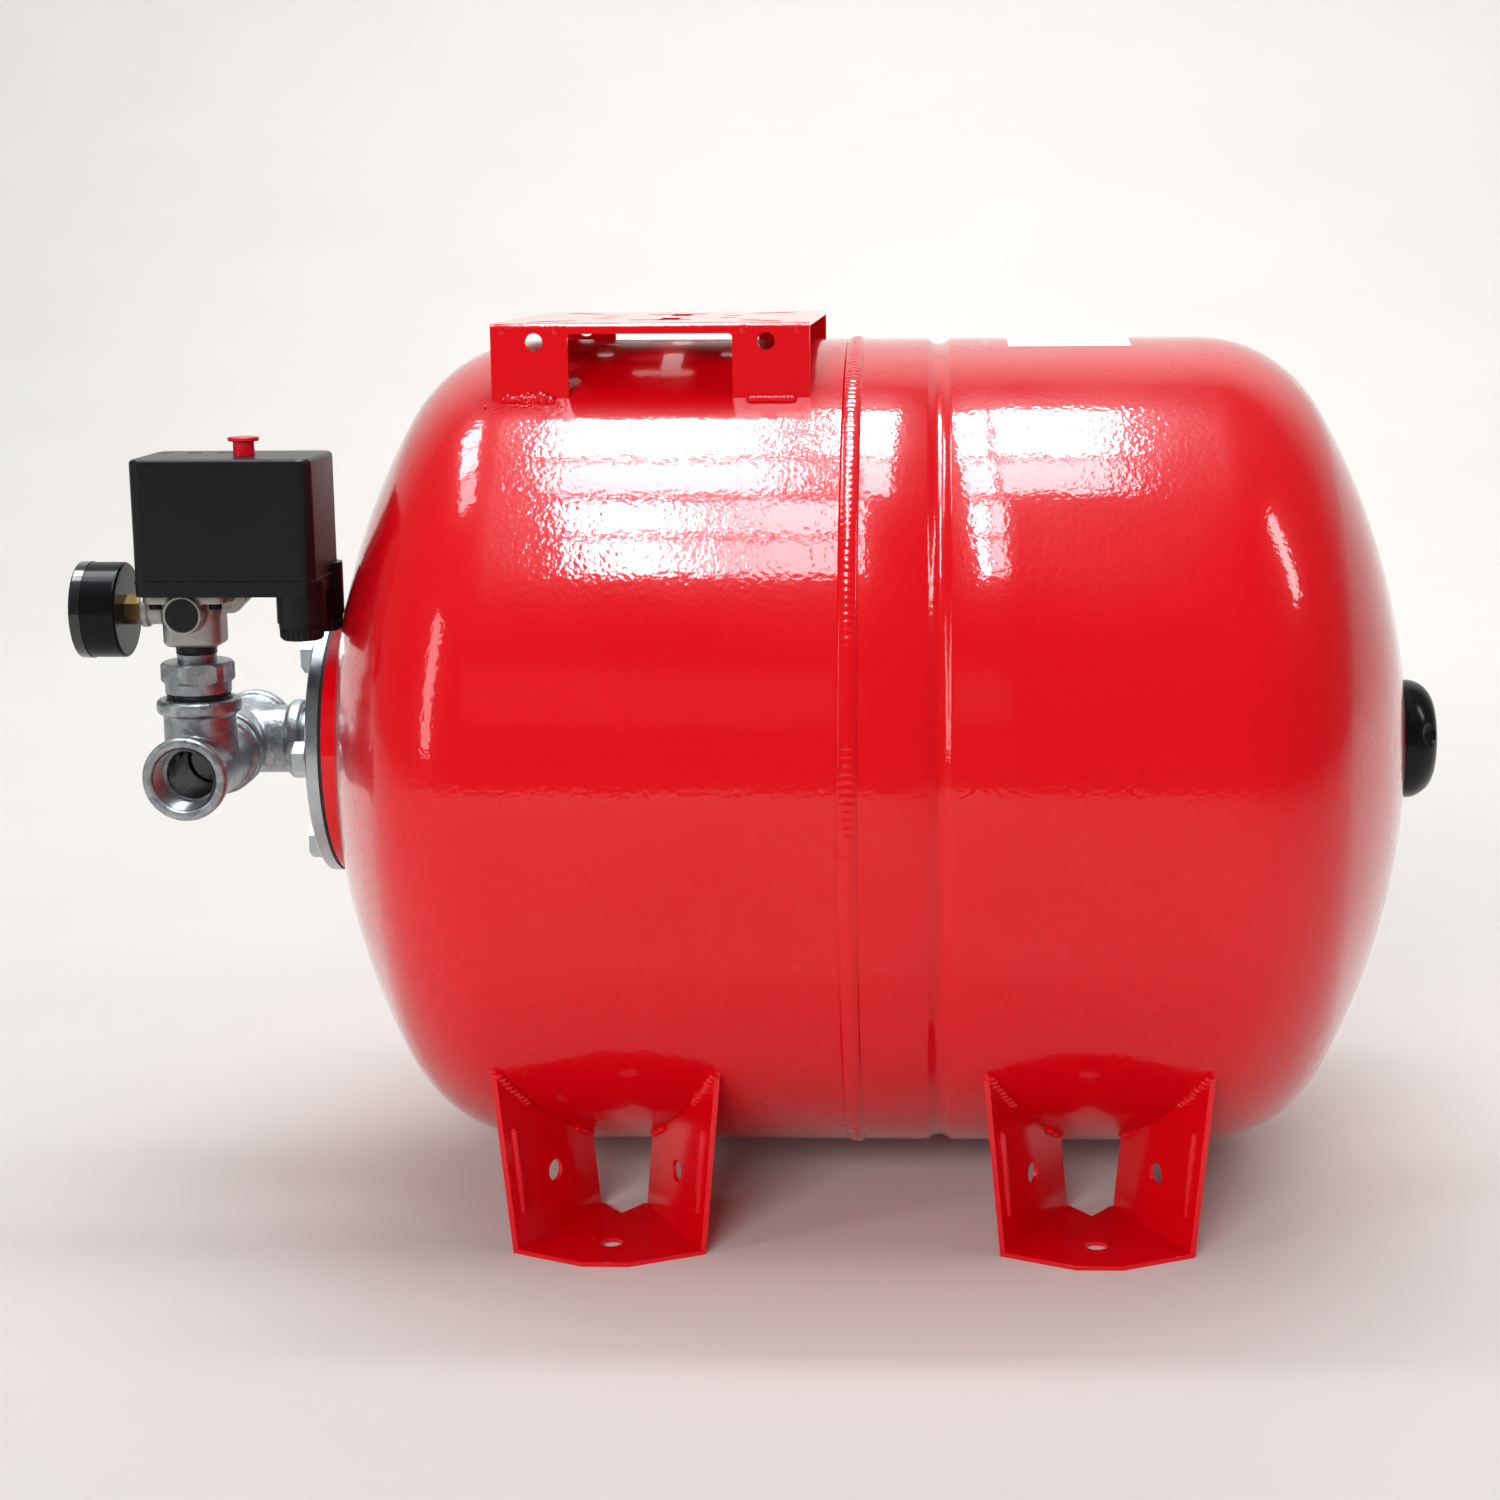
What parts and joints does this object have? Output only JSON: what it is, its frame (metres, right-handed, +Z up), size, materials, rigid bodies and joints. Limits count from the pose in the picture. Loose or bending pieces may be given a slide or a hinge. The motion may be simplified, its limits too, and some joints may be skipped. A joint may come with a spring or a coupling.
{
  "type": "air receiver tank",
  "caption": "Horizontal dished-end pressure tank on sheet feet with a pump bracket, a bolted flange, pipe tees, a dial gauge and a pressure switch with a push-pull knob.",
  "frame": {"origin": "on the floor, under the seam weld and midway between the four feet", "axes": "+X along the tank from the pipe flange towards the air valve, +Z up, -Y is the side of the open pipe port"},
  "size_m": [0.7378, 0.4532, 0.478],
  "materials": {
    "red_enamel": "gloss stoved enamel with light orange peel",
    "zinc_plate": "bright zinc plate",
    "galvanised_iron": "hot-dip galvanised malleable iron",
    "die_cast": "as-cast grey die casting",
    "black_abs": "fine satin moulding",
    "cap_plastic": "glossy black moulding",
    "red_plastic": "glossy red moulding",
    "black_steel": "gloss black enamel",
    "clear_lens": "clear window",
    "dial_white": "white printed plate",
    "pointer_black": "satin black",
    "brass": "machined brass",
    "rubber": "matt black rubber",
    "bright_steel": "zinc plated steel",
    "terminal_plastic": "beige thermoset moulding",
    "label_paper": "coated white paper"
  },
  "bodies": {
    "tank": {"adjusting_screw": "bright_steel", "bladder": "rubber", "blank_label": "label_paper", "bourdon_tube": "brass", "bracket_welds": "red_enamel", "counter_flange": "zinc_plate", "cover_screws": "bright_steel", "diaphragm": "rubber", "fixed_contacts": "brass", "flange_bolts": "zinc_plate", "flange_tee": "galvanised_iron", "flange_washers": "zinc_plate", "foot_welds": "red_enamel", "front_gland_nut": "black_abs", "front_gland_seal": "rubber", "front_left_foot": "red_enamel", "front_right_foot": "red_enamel", "gauge_bezel": "black_steel", "gauge_case": "black_steel", "gauge_dial": "dial_white", "gauge_lens": "clear_lens", "gauge_movement": "brass", "gauge_socket": "brass", "lever_pin": "bright_steel", "main_spring": "bright_steel", "manifold_screws": "black_steel", "neck_ring": "red_enamel", "port_manifold": "die_cast", "port_plugs": "black_abs", "rear_gland_nut": "black_abs", "rear_gland_seal": "rubber", "rear_left_foot": "red_enamel", "rear_right_foot": "red_enamel", "reducing_bushing": "galvanised_iron", "seam_weld": "red_enamel", "shell_flange_half": "red_enamel", "shell_valve_half": "red_enamel", "spring_frame": "bright_steel", "switch_base": "black_abs", "switch_cover": "black_abs", "switch_nipple": "galvanised_iron", "switch_tee": "galvanised_iron", "tee_nipple": "galvanised_iron", "terminal_block": "terminal_plastic", "terminal_screws": "bright_steel", "top_bracket": "red_enamel", "valve_boss": "red_enamel", "valve_core": "brass", "valve_stem": "brass"},
    "knob": {"switch_knob": "red_plastic"},
    "piston": {"switch_piston": "bright_steel"},
    "lever": {"switch_lever": "bright_steel"},
    "pointer": {"gauge_pointer": "pointer_black"},
    "sector": {"gauge_sector": "brass"},
    "valve_needle": {"valve_pin": "brass"},
    "air_cap": {"valve_cap": "cap_plastic"}
  },
  "joints": [
    {"name": "knob_push", "type": "slide", "parent": "tank", "child": "knob", "axis": [0, 0, 1], "range_m": [-0.005, 0]},
    {"name": "piston_lift", "type": "slide", "parent": "tank", "child": "piston", "axis": [0, 0, 1], "range_m": [0, 0.001], "stiffness_N_per_m": 2000, "springref_m": -0.0005, "deforming": ["main_spring"]},
    {"name": "lever_rock", "type": "hinge", "parent": "tank", "child": "lever", "pos_m": [-0.332, -0.08, 0.3465], "axis": [0, 1, 0], "range_deg": [0, 5]},
    {"name": "pointer_turn", "type": "hinge", "parent": "tank", "child": "pointer", "pos_m": [-0.4078, -0.08, 0.3265], "axis": [1, 0, 0], "range_deg": [0, 270]},
    {"name": "sector_turn", "type": "hinge", "parent": "tank", "child": "sector", "pos_m": [-0.402, -0.08, 0.3105], "axis": [1, 0, 0], "range_deg": [-39, 0]},
    {"name": "needle_press", "type": "slide", "parent": "tank", "child": "valve_needle", "axis": [-1, 0, 0], "range_m": [0, 0.0015], "stiffness_N_per_m": 300, "springref_m": -0.0005},
    {"name": "cap_turn", "type": "hinge", "parent": "tank", "child": "air_cap", "pos_m": [0.31, 0, 0.2405], "axis": [1, 0, 0], "range_deg": [0, 360]}
  ],
  "couplings": [
    {"joint": "lever_rock", "follows": "piston_lift", "rad_per_m": 84.7},
    {"joint": "sector_turn", "follows": "pointer_turn", "ratio": -0.14286}
  ]
}
